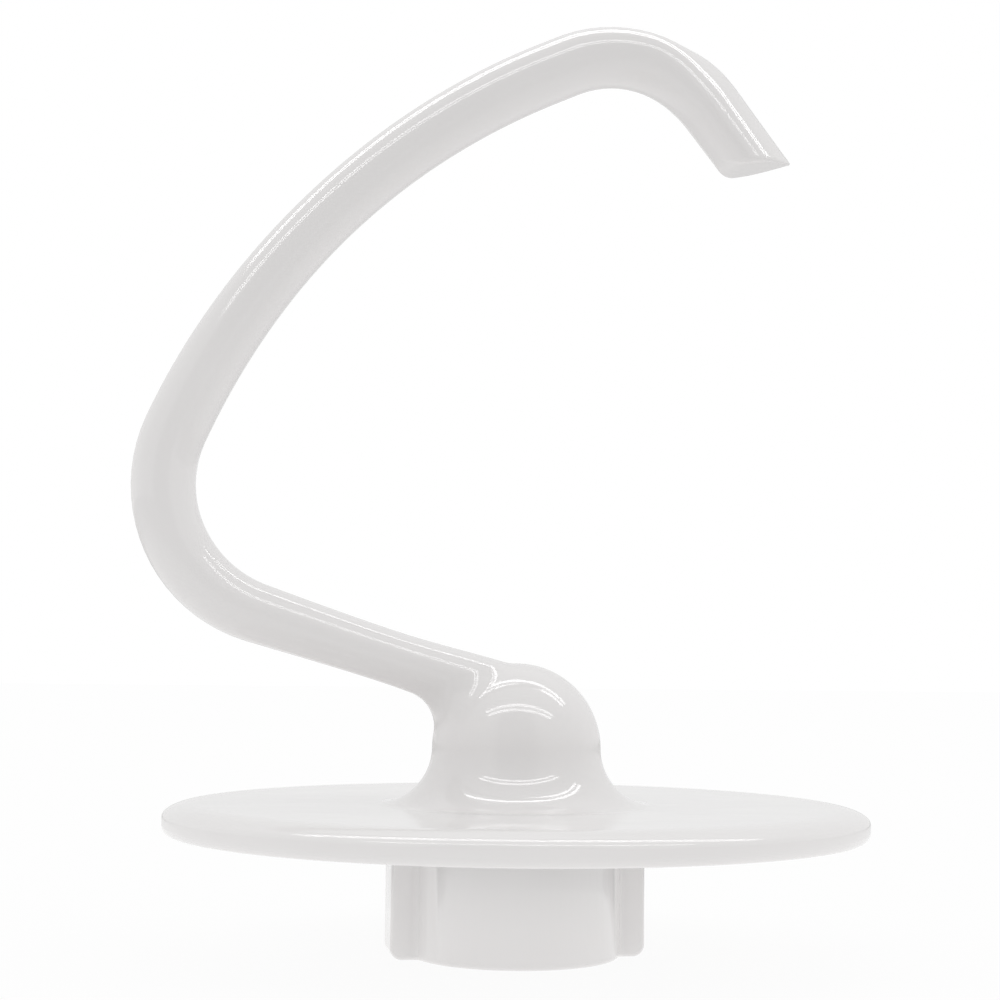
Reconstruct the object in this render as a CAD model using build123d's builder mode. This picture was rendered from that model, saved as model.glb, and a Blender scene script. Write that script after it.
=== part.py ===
from build123d import *
import os
from math import radians, tan

# Dough hook of a stand mixer: hook, drip disc, hub and drive collar in one coated casting.
# It stands on its collar. The drive socket's axis is Z, the collar's end face lies at Z = 0,
# and the hook's own plane is XZ, with the elbow towards -X and the tip towards +X.
# Sizes are in millimetres and angles in degrees.

# Drive collar, with a flat lug on each side in the hook's plane
collar_radius = 14.2
collar_height = 16.4
collar_edge_radius = 0.5
lug_reach = 3.1
lug_thickness = 7.0
lug_root_radius = 1.0
lug_toe_radius = 1.6

# Drive socket for the mixer's shaft, and the metal left above it
shaft_diameter = 12.7
shaft_clearance = 0.15
socket_roof = 9.3
socket_end_radius = 1.5
socket_mouth_chamfer = 0.4

# Bayonet slot for the shaft's cross pin, in the back of the collar
pin_diameter = 4.8
pin_clearance = 0.3
pin_height = 9.0
pin_travel = 5.0
pin_drop = 0.8

# Drip disc
disc_diameter = 95.0
disc_thickness = 3.8
disc_edge_radius = 1.2

# Hub: a dome that flows into the disc through a wide concave fillet
dome_radius = 11.5
hub_fillet_radius = 7.6

# Hook centreline: a straight root that leaves the dome above its centre, the elbow, the long span,
# a short straight shoulder, the crown and a straight tip
root_offset = 6.65
root_rise = 17.4
root_length = 37.35
elbow_radius = 18.2
elbow_angle = 95.8
span_radius = 101.8
span_angle = 41.8
shoulder_length = 3.2
crown_radius = 17.3
crown_angle = 76.6
tip_length = 13.35

# Hook section, an oval: its width in the hook's plane and its depth across it. The bulge ratio says how
# full the oval is: about 0.55 makes an ellipse, and more makes it squarer.
section_bulge_ratio = 0.57
section_spacing = 5.0
root_width = 8.6
root_depth = 9.6
neck_width = 7.2
neck_depth = 8.8
elbow_width = 8.6
elbow_depth = 9.8
waist_width = 8.1
waist_depth = 9.0
shoulder_width = 8.5
shoulder_depth = 9.4
crown_width = 8.35
crown_depth = 9.5
tip_width = 7.8
tip_depth = 9.9

# Ridge along the tip's outer side, where the oval draws out to an edge with a flat on either side
ridge_height = 0.85
ridge_fall = 4.5
ridge_length = 15.5
ridge_run_out = 10.0

# Blend of the hook into the dome, with the share of the straight root that is made with it, and the
# tip's slanting end
root_blend_radius = 5.0
blended_root_ratio = 0.8
tip_cut_angle = 29.0
tip_inner_radius = 3.0

disc_radius = disc_diameter / 2
disc_top = collar_height + disc_thickness
dome_centre = disc_top + hub_fillet_radius
dome_top = dome_centre + dome_radius
lug_span = 2 * (collar_radius + lug_reach)
socket_radius = shaft_diameter / 2 + shaft_clearance
socket_depth = dome_top - socket_roof
pin_slot_width = pin_diameter + 2 * pin_clearance

# The centreline runs past the tip's outer corner, and the end cut trims the hook there
with BuildLine(Plane.XZ) as centreline:
    root = PolarLine((0, dome_centre + root_offset), root_length, 180 - root_rise)
    elbow = JernArc(root @ 1, root % 1, elbow_radius, -elbow_angle)
    span = JernArc(elbow @ 1, elbow % 1, span_radius, -span_angle)
    shoulder = Line(span @ 1, span @ 1 + (span % 1) * shoulder_length)
    crown = JernArc(shoulder @ 1, shoulder % 1, crown_radius, -crown_angle)
    tip_corner = crown @ 1 + (crown % 1) * tip_length
    Line(crown @ 1, tip_corner + (crown % 1) * tip_width / 2)
hook_line = centreline.wire()

# Where each named section stands, as a distance along the centreline
blended_end = blended_root_ratio * root_length
elbow_start = root.length
elbow_end = elbow_start + elbow.length
span_end = elbow_end + span.length
crown_start = span_end + shoulder_length
crown_end = crown_start + crown.length
ridge_start = crown_end + tip_length - ridge_length - ridge_run_out
named_sections = [
    (0, root_width, root_depth),
    (elbow_start / 2, neck_width, neck_depth),
    ((elbow_start + elbow_end) / 2, elbow_width, elbow_depth),
    (elbow_end, elbow_width, elbow_depth),
    ((elbow_end + span_end) / 2, waist_width, waist_depth),
    (crown_start, shoulder_width, shoulder_depth),
    ((crown_start + crown_end) / 2, crown_width, crown_depth),
    (crown_end + tip_length, tip_width, tip_depth),
    (hook_line.length, tip_width, tip_depth),
]


def hook_section(distance):
    """The hook's section at a distance along the centreline: an oval, with the ridge near the tip."""
    for before, after in zip(named_sections, named_sections[1:]):
        if distance <= after[0]:
            break
    share = min(1, (distance - before[0]) / (after[0] - before[0]))
    half_width = (before[1] + share * (after[1] - before[1])) / 2
    half_depth = (before[2] + share * (after[2] - before[2])) / 2
    ridge = min(1, max(0, (distance - ridge_start) / ridge_run_out))
    inner = Vector(0, -half_width)
    outer = Vector(0, half_width + ridge * ridge_height)
    inner_corner = Vector(half_depth, inner.Y)
    outer_corner = Vector(half_depth, outer.Y - ridge * ridge_fall)
    deepest = (inner_corner + outer_corner) / 2
    position = distance / hook_line.length
    with BuildSketch(Plane(hook_line @ position, x_dir=(0, 1, 0), z_dir=hook_line % position)) as section:
        with BuildLine():
            for end, corner in [(outer, outer_corner), (inner, inner_corner)]:
                end_bulge = end + (corner - end) * section_bulge_ratio
                side_bulge = deepest + (corner - deepest) * section_bulge_ratio
                Bezier(end, end_bulge, side_bulge, deepest)
            mirror(about=Plane.YZ)
        make_face()
    return section.sketch


def hook_sections(start, end):
    """Sections at even distances from start to end of a stretch of the hook."""
    gaps = round((end - start) / section_spacing)
    return [hook_section(start + index * (end - start) / gaps) for index in range(gaps + 1)]


with BuildPart() as dough_hook:
    # Drip disc and domed hub, turned in one profile
    with BuildSketch(Plane.XZ):
        with BuildLine():
            underside = Line((0, collar_height), (disc_radius, collar_height))
            rim = Line(underside @ 1, (disc_radius, disc_top))
            top = Line(rim @ 1, (dome_radius + hub_fillet_radius, disc_top))
            flare = RadiusArc(top @ 1, (dome_radius, dome_centre), hub_fillet_radius)
            dome = RadiusArc(flare @ 1, (0, dome_top), -dome_radius)
            Line(dome @ 1, underside @ 0)
        make_face()
    revolve(axis=Axis.Z)
    rim_edges = dough_hook.edges().filter_by(GeomType.CIRCLE).sort_by(SortBy.RADIUS)[-2:]
    fillet(rim_edges, disc_edge_radius)

    # Hook: ovals set square to the centreline and lofted, first the root, which is blended into the
    # dome, and then the rest up to the tip
    loft(hook_sections(0, blended_end))
    fillet(dough_hook.edges(Select.NEW), root_blend_radius)
    loft(hook_sections(blended_end, hook_line.length))

    # Tip: a slanting cut from the ridge's sharp corner to the rounded inner one
    inner_side = -tip_width / 2
    outer_side = tip_width / 2 + ridge_height
    cut_back = (outer_side - inner_side) * tan(radians(tip_cut_angle))
    beyond = 2 * tip_width
    with BuildSketch(Plane(tip_corner, x_dir=crown % 1, z_dir=(0, -1, 0))):
        with BuildLine():
            end_cut = Line((0, outer_side), (-cut_back, inner_side))
            inner_edge = Line(end_cut @ 1, (-tip_length, inner_side))
            past_corner = end_cut @ 0 - (end_cut % 0) * tip_width
            far_corners = [(-tip_length, -beyond), (beyond, -beyond), (beyond, beyond)]
            Polyline(inner_edge @ 1, *far_corners, past_corner, end_cut @ 0)
        make_face()
        fillet(vertices().sort_by_distance(end_cut @ 1)[0], tip_inner_radius)
    extrude(amount=tip_depth, both=True, mode=Mode.SUBTRACT)

    # Drive collar under the disc, with its two lugs
    with BuildSketch():
        Circle(collar_radius)
    extrude(amount=collar_height)
    with BuildSketch(Plane.XZ) as lug_outline:
        with Locations((0, collar_height / 2)):
            Rectangle(lug_span, collar_height)
        fillet(lug_outline.vertices().group_by(Axis.Y)[0], lug_toe_radius)
    extrude(amount=lug_thickness / 2, both=True)
    lug_roots = dough_hook.edges().filter_by(Axis.Z).sort_by(lambda edge: abs(edge.center().X))[:4]
    fillet(lug_roots, lug_root_radius)
    end_face = dough_hook.faces().sort_by(Axis.Z)[0]
    fillet(end_face.outer_wire().edges(), collar_edge_radius)

    # Drive socket: a blind round bore from the collar's end face up into the dome
    with BuildSketch():
        Circle(socket_radius)
    extrude(amount=socket_depth, mode=Mode.SUBTRACT)
    mouth, socket_end = dough_hook.edges(Select.LAST).filter_by(GeomType.CIRCLE).sort_by(Axis.Z)
    fillet(socket_end, socket_end_radius)
    chamfer(mouth, socket_mouth_chamfer)

    # Bayonet slot: the cross pin slides in from the end face, turns aside and drops into its seat
    with BuildSketch(Plane.XZ):
        with Locations((0, pin_height / 2)):
            Rectangle(pin_slot_width, pin_height)
        with Locations((-pin_travel / 2, pin_height)):
            SlotCenterToCenter(pin_travel, pin_slot_width)
        with Locations((-pin_travel, pin_height - pin_drop / 2)):
            SlotCenterToCenter(pin_drop, pin_slot_width, rotation=90)
    extrude(amount=-lug_span / 2, mode=Mode.SUBTRACT)

os.makedirs("parts", exist_ok=True)
dough_hook.part.label = "dough_hook"
export_step(dough_hook.part, "parts/dough_hook.step")
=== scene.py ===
import math

import bmesh
import bpy
from mathutils import Matrix, Vector
from mathutils.geometry import interpolate_bezier


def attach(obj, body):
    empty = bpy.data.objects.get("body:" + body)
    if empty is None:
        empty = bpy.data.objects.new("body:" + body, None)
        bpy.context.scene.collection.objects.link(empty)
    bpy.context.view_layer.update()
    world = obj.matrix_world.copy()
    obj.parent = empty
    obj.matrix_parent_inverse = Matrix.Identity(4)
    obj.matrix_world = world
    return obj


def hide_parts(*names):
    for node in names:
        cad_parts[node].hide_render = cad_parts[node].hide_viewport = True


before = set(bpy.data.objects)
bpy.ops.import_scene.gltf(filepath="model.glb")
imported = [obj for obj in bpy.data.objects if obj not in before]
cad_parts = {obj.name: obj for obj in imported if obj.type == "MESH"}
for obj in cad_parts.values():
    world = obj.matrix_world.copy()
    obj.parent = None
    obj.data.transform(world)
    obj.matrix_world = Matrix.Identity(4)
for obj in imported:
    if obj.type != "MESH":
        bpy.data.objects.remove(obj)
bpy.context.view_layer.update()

# Hook: one aluminium casting under a thick white coat, from the drive collar and the drip disc to the
# bent arm and its ridged tip. Its forms are drawn in millimetres to the solid's sizes, with even faces
# on which the coat's gloss runs on, and make one piece.
mm_per_metre = 1000.0
merge_distance = 0.001
casting = bmesh.new()

# Collar: the drive end, with two lugs, the socket for the mixer's shaft and the slot for its cross pin.
# It is cast with the rest, and keeps the solid's own skin, below the disc and inside the socket.
disc_underside = 16.4
socket_radius = 6.5
socket_end = 30.0
skin_margin = 0.05
skin_merge_metres = 2e-6
crease_angle = math.radians(35.0)
casting.from_mesh(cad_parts["dough_hook"].data)
bmesh.ops.remove_doubles(casting, verts=casting.verts, dist=skin_merge_metres)
bmesh.ops.scale(casting, vec=(mm_per_metre, mm_per_metre, mm_per_metre), verts=casting.verts)
above_collar = []
for face in casting.faces:
    middle = face.calc_center_median()
    in_socket = middle.xy.length < socket_radius + skin_margin and middle.z < socket_end + skin_margin
    if middle.z > disc_underside - skin_margin and not in_socket:
        above_collar.append(face)
bmesh.ops.delete(casting, geom=above_collar, context="FACES")
for edge in casting.edges:
    edge.smooth = edge.calc_face_angle(0) < crease_angle
collar = {*casting.verts, *casting.edges, *casting.faces}

# Drip disc and hub: a thin round disc, whose top rolls off to its rim over a soft shoulder and sweeps up
# through a concave flare into a dome. Its profile is drawn from the underside up round the rim and in to
# the dome's top, and spun, and the flat underside is filled in round the collar.
disc_radius = 47.5
disc_top = 20.2
rim_height = 20.4
rim_low_radius = 1.2
shoulder_width = 4.5
shoulder_drop = 1.8
flare_radius = 7.6
dome_radius = 11.5
dome_centre = disc_top + flare_radius
rim_low_steps = 12
shoulder_steps = 24
flare_steps = 24
dome_steps = 36
spin_steps = 192


def draw_line(start, radius, height):
    """Carry the profile on straight, and return its new end."""
    end = casting.verts.new((radius, 0, height))
    casting.edges.new((start, end))
    return end


def draw_arc(start, radius, height, quarter_turns, steps):
    """Carry the profile on round a centre, and return its new end."""
    swing = bmesh.ops.spin(
        casting, geom=[start], cent=(radius, 0, height), axis=(0, 1, 0),
        angle=quarter_turns * math.pi / 2, steps=steps,
    )
    return next(item for item in swing["geom_last"] if isinstance(item, bmesh.types.BMVert))


end = casting.verts.new((disc_radius - rim_low_radius, 0, disc_underside))
end = draw_arc(end, disc_radius - rim_low_radius, disc_underside + rim_low_radius, -1, rim_low_steps)
end = draw_line(end, disc_radius, rim_height - shoulder_drop)
below_shoulder = set(casting.verts)
end = draw_arc(end, disc_radius - shoulder_drop, rim_height - shoulder_drop, -1, shoulder_steps)
bmesh.ops.scale(
    casting, vec=(shoulder_width / shoulder_drop, 1, 1), space=Matrix.Translation((-disc_radius, 0, 0)),
    verts=[vert for vert in casting.verts if vert not in below_shoulder],
)
end = draw_line(end, dome_radius + flare_radius, disc_top)
end = draw_arc(end, dome_radius + flare_radius, dome_centre, 1, flare_steps)
draw_arc(end, 0, dome_centre, -1, dome_steps)
profile = [item for item in [*casting.verts, *casting.edges] if item not in collar]
bmesh.ops.spin(
    casting, geom=profile, cent=(0, 0, 0), axis=(0, 0, 1), angle=2 * math.pi, steps=spin_steps,
    use_merge=True,
)
disc_verts = [vert for vert in casting.verts if vert not in collar]
bmesh.ops.remove_doubles(casting, verts=disc_verts, dist=merge_distance)
bmesh.ops.recalc_face_normals(casting, faces=[face for face in casting.faces if face not in collar])
underside_edges = [edge for edge in casting.edges if edge.is_boundary]
bmesh.ops.triangle_fill(casting, edges=underside_edges, normal=(0, 0, -1), use_beauty=True)

# Arm: a bar of oval section that leaves the dome above its centre, bends up at the elbow and over at the
# crown, and draws out to a ridge along its tip, which is cut off on a slant. A sheet is wrapped round its
# centreline and flared out on to the dome.
root_offset = 6.65
root_rise = math.radians(17.4)
root_length = 37.35
elbow_radius = 18.2
elbow_angle = math.radians(95.8)
span_radius = 101.8
span_angle = math.radians(41.8)
shoulder_length = 3.2
crown_radius = 17.3
crown_angle = math.radians(76.6)
tip_length = 13.35
elbow_end = root_length + elbow_radius * elbow_angle
span_end = elbow_end + span_radius * span_angle
crown_start = span_end + shoulder_length
crown_end = crown_start + crown_radius * crown_angle
tip_end = crown_end + tip_length

# The centreline's stretches: their lengths and the radii of those that bend
stretches = [
    (root_length, None),
    (elbow_radius * elbow_angle, elbow_radius),
    (span_radius * span_angle, span_radius),
    (shoulder_length, None),
    (crown_radius * crown_angle, crown_radius),
    (tip_length, None),
]

# The arm's sections: how far along it they stand, how wide they are in its own plane and how deep across
tip_width = 7.8
named_sections = [
    (0, 8.6, 9.6),
    (root_length / 2, 7.2, 8.8),
    ((root_length + elbow_end) / 2, 8.6, 9.8),
    (elbow_end, 8.6, 9.8),
    ((elbow_end + span_end) / 2, 8.1, 9.0),
    (crown_start, 8.5, 9.4),
    ((crown_start + crown_end) / 2, 8.35, 9.5),
    (tip_end, tip_width, 9.9),
]
section_bulge = 0.57
ridge_bulge = 0.72
ridge_height = 0.85
ridge_fall = 3.7
ridge_length = 15.5
ridge_run_out = 10.0
ridge_start = tip_end - ridge_length - ridge_run_out
columns = 96
quarter = columns // 4
normal_step = 0.1


def ease(share):
    """A share from 0 to 1 that starts and ends gently."""
    share = min(1, max(0, share))
    return share * share * (3 - 2 * share)


def arm_section(distance):
    """Half of the arm's section at a distance along it, from its outer side round to its inner one."""
    for before, after in zip(named_sections, named_sections[1:]):
        if distance <= after[0]:
            break
    share = ease((distance - before[0]) / (after[0] - before[0]))
    half_width = (before[1] + share * (after[1] - before[1])) / 2
    half_depth = (before[2] + share * (after[2] - before[2])) / 2
    ridge = ease((distance - ridge_start) / ridge_run_out)
    inner = Vector((0, -half_width))
    outer = Vector((0, half_width + ridge * ridge_height))
    inner_corner = Vector((half_depth, -half_width))
    outer_corner = Vector((half_depth, outer.y - ridge * ridge_fall))
    deepest = (inner_corner + outer_corner) / 2
    outer_bulge = section_bulge + ridge * (ridge_bulge - section_bulge)
    quarters = []
    for side, corner, bulge in [(outer, outer_corner, outer_bulge), (inner, inner_corner, section_bulge)]:
        side_handle = side.lerp(corner, bulge)
        deep_handle = deepest.lerp(corner, bulge)
        quarters.append(interpolate_bezier(side, side_handle, deep_handle, deepest, quarter + 1))
    return quarters[0] + quarters[1][-2::-1]


def arm_ring(distance):
    """Points round the arm at a distance along it, from its outer side by its front to its inner one."""
    section = arm_section(distance)
    place = Vector((0, 0, dome_centre + root_offset))
    heading = math.pi - root_rise
    for length, radius in stretches:
        run = min(distance, length)
        distance -= run
        if radius:
            before = Vector((math.sin(heading), 0, -math.cos(heading)))
            heading -= run / radius
            place += radius * (before - Vector((math.sin(heading), 0, -math.cos(heading))))
        else:
            place += run * Vector((math.cos(heading), 0, math.sin(heading)))
    outwards = Vector((-math.sin(heading), 0, math.cos(heading)))
    front = [place + point.y * outwards - Vector((0, point.x, 0)) for point in section]
    back = [place + point.y * outwards + Vector((0, point.x, 0)) for point in section[-2:0:-1]]
    return front + back


def arm_normal(distance, column):
    """Which way the arm's side faces at a distance along it."""
    ring = arm_ring(distance)
    along = ring[column] - arm_ring(distance - normal_step)[column]
    around = ring[(column + 1) % columns] - ring[column - 1]
    return around.cross(along).normalized()


# Root: the arm's foot sweeps out on to the dome as a ball would roll between the two. It starts in rows
# just under the dome's skin, given by their turn round the hub past the ball's touch and by their depth.
root_blend_radius = 5.0
blend_reach = 24.0
blend_steps = 16
foot_rows = [(0.08, 0.04), (0.04, 0.008)]
bisections = 24
hub = Vector((0, 0, dome_centre))


def foot_strip(column):
    """The blend's points from the dome to the arm, and where on the arm they end."""
    inside, outside = 0.0, blend_reach
    for _ in range(bisections):
        start = (inside + outside) / 2
        ball = arm_ring(start)[column] + root_blend_radius * arm_normal(start, column)
        if (ball - hub).length < dome_radius + root_blend_radius:
            inside = start
        else:
            outside = start
    touch = arm_ring(start)[column]
    to_dome = (hub - ball).normalized()
    to_arm = (touch - ball).normalized()
    outwards = (to_dome * to_dome.dot(to_arm) - to_arm).normalized()
    strip = []
    for turn, depth in foot_rows:
        strip.append(hub + (dome_radius - depth) * (outwards * math.sin(turn) - to_dome * math.cos(turn)))
    for step in range(blend_steps):
        strip.append(ball + root_blend_radius * to_dome.slerp(to_arm, ease(step / blend_steps)))
    return strip, start


# Tip: the slanting cut runs from the ridge's sharp corner to the inner one, which is rounded. The coat
# softens the cut's edge, more so towards its inner side.
tip_slant = math.radians(29.0)
tip_inner_radius = 4.6
steepest_cut = math.radians(80.0)
ridge_edge_radius = 0.25
inner_edge_radius = 1.2
edge_lead = 1.5
edge_steps = 6
cut_passes = 4
tip_turn = math.pi - root_rise - elbow_angle - span_angle - crown_angle
tip_heading = Vector((math.cos(tip_turn), 0, math.sin(tip_turn)))
tip_outwards = Vector((-math.sin(tip_turn), 0, math.cos(tip_turn)))


def tip_cut(place):
    """The cut at a place across the arm: how far short of the ridge's corner, and which way it faces."""
    ridge_side = tip_width / 2 + ridge_height
    round_middle = arm_section(tip_end - tip_length / 2)[-1].y + tip_inner_radius
    turn = tip_slant
    depth = (ridge_side - place) * math.tan(tip_slant)
    if place < round_middle - tip_inner_radius * math.sin(tip_slant):
        turn = math.asin(min(math.sin(steepest_cut), (round_middle - place) / tip_inner_radius))
        depth = (ridge_side - round_middle) * math.tan(tip_slant)
        depth += tip_inner_radius * (1 / math.cos(tip_slant) - math.cos(turn))
        depth += (round_middle - tip_inner_radius * math.sin(turn) - place) * math.tan(turn)
    return depth, tip_heading * math.cos(turn) - tip_outwards * math.sin(turn)


def tip_strip(column):
    """The points of the cut's soft edge, from the arm's side to the cut, and where they start."""
    reach = tip_end
    for _ in range(cut_passes):
        depth, faces = tip_cut(arm_section(reach)[min(column, columns - column)].y)
        reach = tip_end - depth
    side = arm_normal(reach, column)
    share = min(column, columns - column) * 2 / columns
    radius = ridge_edge_radius + share * (inner_edge_radius - ridge_edge_radius)
    corner = arm_ring(reach)[column] - radius * (side + faces) / (1 + side.dot(faces))
    strip = [corner + radius * side.slerp(faces, step / edge_steps) for step in range(edge_steps + 1)]
    return strip, reach - edge_lead * radius * math.tan(side.angle(faces) / 2)


# The sheet's lines run from the foot to the cut, which a second sheet closes. Both are merged where they
# meet, and the whole casting is brought back to metres.
row_spacing = 1.5
tip_lead = 6.0
tip_start = crown_end - tip_lead
lead_steps = 9
span_steps = round((tip_start - blend_reach) / row_spacing)
tip_steps = 14
cap_steps = 12
lines = []
for column in range(columns):
    line, start = foot_strip(column)
    end_strip, reach = tip_strip(column)
    for first, last, steps in [
        (start, blend_reach, lead_steps),
        (blend_reach, tip_start, span_steps),
        (tip_start, reach, tip_steps),
    ]:
        line += [arm_ring(first + (last - first) * step / steps)[column] for step in range(steps)]
    lines.append(line + [arm_ring(reach)[column]] + end_strip)
rows = len(lines[0]) - 1
sheet = bmesh.ops.create_grid(casting, x_segments=columns, y_segments=rows, size=1)["verts"]
for vert in sheet:
    column = round((vert.co.x + 1) / 2 * columns) % columns
    vert.co = lines[column][round((vert.co.y + 1) / 2 * rows)]
cap = bmesh.ops.create_grid(casting, x_segments=columns // 2, y_segments=cap_steps, size=1)["verts"]
for vert in cap:
    column = round((vert.co.x + 1) / 4 * columns)
    vert.co = lines[column][rows].lerp(lines[-column][rows], (vert.co.y + 1) / 2)
bmesh.ops.remove_doubles(casting, verts=sheet + cap, dist=merge_distance)
for face in casting.faces:
    face.smooth = True
bmesh.ops.scale(casting, vec=(1 / mm_per_metre, 1 / mm_per_metre, 1 / mm_per_metre), verts=casting.verts)
hook_mesh = bpy.data.meshes.new("coated_hook")
casting.to_mesh(hook_mesh)
casting.free()
if "custom_normal" in hook_mesh.attributes:
    hook_mesh.attributes.remove(hook_mesh.attributes["custom_normal"])
hook = bpy.data.objects.new("coated_hook", hook_mesh)
bpy.context.scene.collection.objects.link(hook)
flat_faces = hook.modifiers.new("flat_faces", "WEIGHTED_NORMAL")
flat_faces.mode = "FACE_AREA_WITH_ANGLE"
flat_faces.keep_sharp = True

# Coat: a thick white gloss powder coat, baked on. It has run a little, so that it mirrors in soft waves,
# its white is faintly clouded, and its gloss is duller in some patches than in others.
coat_white = (0.81, 0.797, 0.793, 1)
coat_cloud = (0.785, 0.77, 0.765, 1)
coat_ior = 1.5
cloud_size = 0.018
cloud_detail = 3.0
wave_size = 0.0045
peel_size = 0.0012
wave_detail = 1.0
wave_height = 0.000006
peel_share = 0.10
glossy_below = 0.35
dull_above = 0.65
gloss_roughness = 0.05
dull_roughness = 0.11
white_coat = bpy.data.materials.new("white_coat")
white_coat.use_nodes = True
nodes = white_coat.node_tree.nodes
links = white_coat.node_tree.links
coat = nodes["Principled BSDF"]
coat.inputs["IOR"].default_value = coat_ior
coat_place = nodes.new("ShaderNodeTexCoord")


def coat_noise(size, detail):
    """A noise over the coat, with blotches of about a size in metres."""
    noise = nodes.new("ShaderNodeTexNoise")
    noise.inputs["Scale"].default_value = 1 / size
    noise.inputs["Detail"].default_value = detail
    links.new(coat_place.outputs["Object"], noise.inputs["Vector"])
    return noise.outputs["Fac"]


clouds = coat_noise(cloud_size, cloud_detail)
shade = nodes.new("ShaderNodeMix")
shade.data_type = "RGBA"
shade.inputs["A"].default_value = coat_white
shade.inputs["B"].default_value = coat_cloud
links.new(clouds, shade.inputs["Factor"])
links.new(shade.outputs["Result"], coat.inputs["Base Color"])
gloss = nodes.new("ShaderNodeMapRange")
gloss.inputs["From Min"].default_value = glossy_below
gloss.inputs["From Max"].default_value = dull_above
gloss.inputs["To Min"].default_value = gloss_roughness
gloss.inputs["To Max"].default_value = dull_roughness
links.new(clouds, gloss.inputs["Value"])
links.new(gloss.outputs["Result"], coat.inputs["Roughness"])
peel = nodes.new("ShaderNodeMath")
peel.operation = "MULTIPLY_ADD"
peel.inputs[1].default_value = peel_share
links.new(coat_noise(peel_size, wave_detail), peel.inputs[0])
links.new(coat_noise(wave_size, wave_detail), peel.inputs[2])
waves = nodes.new("ShaderNodeBump")
waves.inputs["Distance"].default_value = wave_height
links.new(peel.outputs["Value"], waves.inputs["Height"])
links.new(waves.outputs["Normal"], coat.inputs["Normal"])
hook_mesh.materials.append(white_coat)
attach(hook, "root")
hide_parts("dough_hook")

# Floor: a plain white light table, wide enough to run out of every view. Its light comes up at the hook
# and fades away from it. To the camera it is white, with part of the hook's shadow.
floor_half_width = 3.0
floor_gap = 0.0001
floor_white = 0.90
near_light = 0.99
far_light = 0.63
fade_start = 0.15
fade_end = 0.35
paint_colour = (0.9, 0.9, 0.9, 1)
paint_roughness = 0.9
table_top = bmesh.new()
bmesh.ops.create_grid(table_top, x_segments=1, y_segments=1, size=floor_half_width)
bmesh.ops.translate(table_top, vec=(0, 0, -floor_gap), verts=table_top.verts)
floor_mesh = bpy.data.meshes.new("floor")
table_top.to_mesh(floor_mesh)
table_top.free()
floor = bpy.data.objects.new("floor", floor_mesh)
bpy.context.scene.collection.objects.link(floor)
white_table = bpy.data.materials.new("white_table")
white_table.use_nodes = True
nodes = white_table.node_tree.nodes
links = white_table.node_tree.links
table_paint = nodes["Principled BSDF"]
table_paint.inputs["Base Color"].default_value = paint_colour
table_paint.inputs["Roughness"].default_value = paint_roughness
table_paint.inputs["Specular IOR Level"].default_value = 0.0
table_place = nodes.new("ShaderNodeTexCoord")
from_hook = nodes.new("ShaderNodeVectorMath")
from_hook.operation = "LENGTH"
fade = nodes.new("ShaderNodeMapRange")
fade.interpolation_type = "SMOOTHSTEP"
fade.inputs["From Min"].default_value = fade_start
fade.inputs["From Max"].default_value = fade_end
fade.inputs["To Min"].default_value = near_light
fade.inputs["To Max"].default_value = far_light
table_light = nodes.new("ShaderNodeEmission")
links.new(table_place.outputs["Object"], from_hook.inputs["Vector"])
links.new(from_hook.outputs["Value"], fade.inputs["Value"])
links.new(fade.outputs["Result"], table_light.inputs["Strength"])
plain_white = nodes.new("ShaderNodeEmission")
table_look = nodes.new("ShaderNodeMixShader")
table_look.inputs["Fac"].default_value = floor_white
links.new(table_paint.outputs["BSDF"], table_look.inputs[1])
links.new(plain_white.outputs["Emission"], table_look.inputs[2])
table_path = nodes.new("ShaderNodeLightPath")
table = nodes.new("ShaderNodeMixShader")
links.new(table_path.outputs["Is Camera Ray"], table.inputs["Fac"])
links.new(table_light.outputs["Emission"], table.inputs[1])
links.new(table_look.outputs["Shader"], table.inputs[2])
links.new(table.outputs["Shader"], nodes["Material Output"].inputs["Surface"])
floor_mesh.materials.append(white_table)

# Light tent: white cloth round the hook, dimmer behind it than at its sides and overhead, with the dim
# opening at its front that the camera looks in by. To the camera it is plain white all over.
camera_turn = math.radians(10.0)
side_strength = 1.06
back_strength = 0.85
back_start = 0.30
back_end = 0.90
roof_strength = 1.10
roof_start = 0.55
roof_end = 0.85
opening_strength = 0.54
opening_side = math.tan(math.radians(29.0))
opening_rise = math.tan(math.radians(53.0))
opening_soft = 0.12
least_forward = 0.001
tent = bpy.data.worlds.new("light_tent")
tent.use_nodes = True
bpy.context.scene.world = tent
nodes = tent.node_tree.nodes
links = tent.node_tree.links
around = nodes.new("ShaderNodeTexCoord")
facing = nodes.new("ShaderNodeVectorRotate")
facing.rotation_type = "Z_AXIS"
facing.inputs["Angle"].default_value = camera_turn
direction = nodes.new("ShaderNodeSeparateXYZ")
links.new(around.outputs["Generated"], facing.inputs["Vector"])
links.new(facing.outputs["Vector"], direction.inputs["Vector"])


def feed(socket, value):
    """Set a socket to a number, or link it to the output that gives its value."""
    if isinstance(value, (int, float)):
        socket.default_value = value
    else:
        links.new(value, socket)


def tent_math(operation, *values):
    """One step of arithmetic on directions in the tent."""
    step = nodes.new("ShaderNodeMath")
    step.operation = operation
    for socket, value in zip(step.inputs, values):
        feed(socket, value)
    return step.outputs["Value"]


def past(value, start, end):
    """0 up to the start of a range, and 1 past its end, with a soft change between them."""
    change = nodes.new("ShaderNodeMapRange")
    change.interpolation_type = "SMOOTHSTEP"
    change.inputs["From Min"].default_value = start
    change.inputs["From Max"].default_value = end
    links.new(value, change.inputs["Value"])
    return change.outputs["Result"]


def within(value, limit):
    """1 inside one of the opening's edges, and 0 past it, with a soft change between them."""
    return tent_math("SUBTRACT", 1, past(value, limit - opening_soft, limit + opening_soft))


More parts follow.
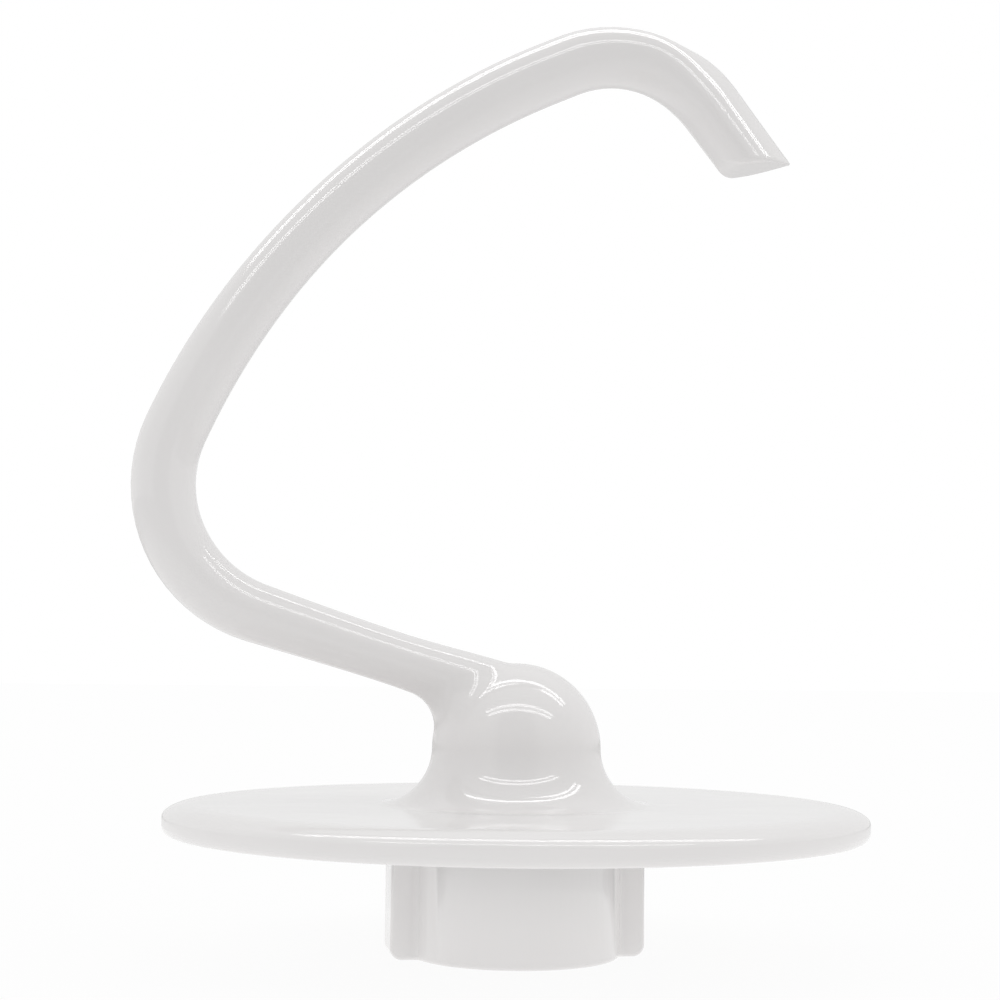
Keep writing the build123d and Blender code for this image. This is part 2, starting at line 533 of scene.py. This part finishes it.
def hang(under, share, cloth_strength):
    """Give a share of the tent its own strength, over what hangs there so far."""
    layer = nodes.new("ShaderNodeMix")
    feed(layer.inputs["A"], under)
    feed(layer.inputs["B"], cloth_strength)
    feed(layer.inputs["Factor"], share)
    return layer.outputs["Result"]


forward = tent_math("MAXIMUM", tent_math("MULTIPLY", direction.outputs["Y"], -1), least_forward)
side = tent_math("ABSOLUTE", tent_math("DIVIDE", direction.outputs["X"], forward))
rise = tent_math("DIVIDE", direction.outputs["Z"], forward)
opening = tent_math("MULTIPLY", within(side, opening_side), within(rise, opening_rise))
strength = hang(side_strength, past(direction.outputs["Y"], back_start, back_end), back_strength)
strength = hang(strength, past(direction.outputs["Z"], roof_start, roof_end), roof_strength)
strength = hang(strength, opening, opening_strength)
cloth = nodes["Background"]
cloth.inputs["Color"].default_value = (1, 1, 1, 1)
links.new(strength, cloth.inputs["Strength"])
backdrop = nodes.new("ShaderNodeBackground")
backdrop.inputs["Color"].default_value = (1, 1, 1, 1)
backdrop.inputs["Strength"].default_value = 1.0
tent_path = nodes.new("ShaderNodeLightPath")
tent_look = nodes.new("ShaderNodeMixShader")
links.new(tent_path.outputs["Is Camera Ray"], tent_look.inputs["Fac"])
links.new(cloth.outputs["Background"], tent_look.inputs[1])
links.new(backdrop.outputs["Background"], tent_look.inputs[2])
links.new(tent_look.outputs["Shader"], nodes["World Output"].inputs["Surface"])

# Roof lamps: four strips of light across the tent's roof, two just behind the hook and two in front of
# it. They show in the coat's gloss alone, as bright lines along the arm and across the dome.
strip_height = 0.34
strip_width = 0.024
strip_length = 0.62
strip_aside = 0.04
strip_power = 0.28
strips_forward = [
    ("back_strip", -0.078),
    ("top_strip", -0.030),
    ("front_strip", 0.175),
    ("foremost_strip", 0.229),
]
for name, strip_forward in strips_forward:
    strip_data = bpy.data.lights.new(name, "AREA")
    strip_data.shape = "RECTANGLE"
    strip_data.size = strip_length
    strip_data.size_y = strip_width
    strip_data.energy = strip_power
    strip = bpy.data.objects.new(name, strip_data)
    strip.visible_diffuse = False
    strip_place = Matrix.Translation((strip_aside, -strip_forward, strip_height))
    strip.matrix_world = Matrix.Rotation(-camera_turn, 4, "Z") @ strip_place
    bpy.context.scene.collection.objects.link(strip)

# Camera: close to the hook, level with the hub's top and tipped up a little, with the elbow's side
# turned towards it.
camera_pitch = math.radians(5.0)
camera_roll = math.radians(0.64)
camera_place = (-0.0026, -0.260, 0.039)
camera_lens = 68.0
camera_data = bpy.data.cameras.new("photo_camera")
camera_data.lens = camera_lens
camera = bpy.data.objects.new("photo_camera", camera_data)
camera.matrix_world = (
    Matrix.Rotation(-camera_turn, 4, "Z")
    @ Matrix.Translation(camera_place)
    @ Matrix.Rotation(math.pi / 2 + camera_pitch, 4, "X")
    @ Matrix.Rotation(camera_roll, 4, "Z")
)
bpy.context.scene.collection.objects.link(camera)
bpy.context.scene.camera = camera
bpy.context.scene.view_settings.view_transform = "Standard"
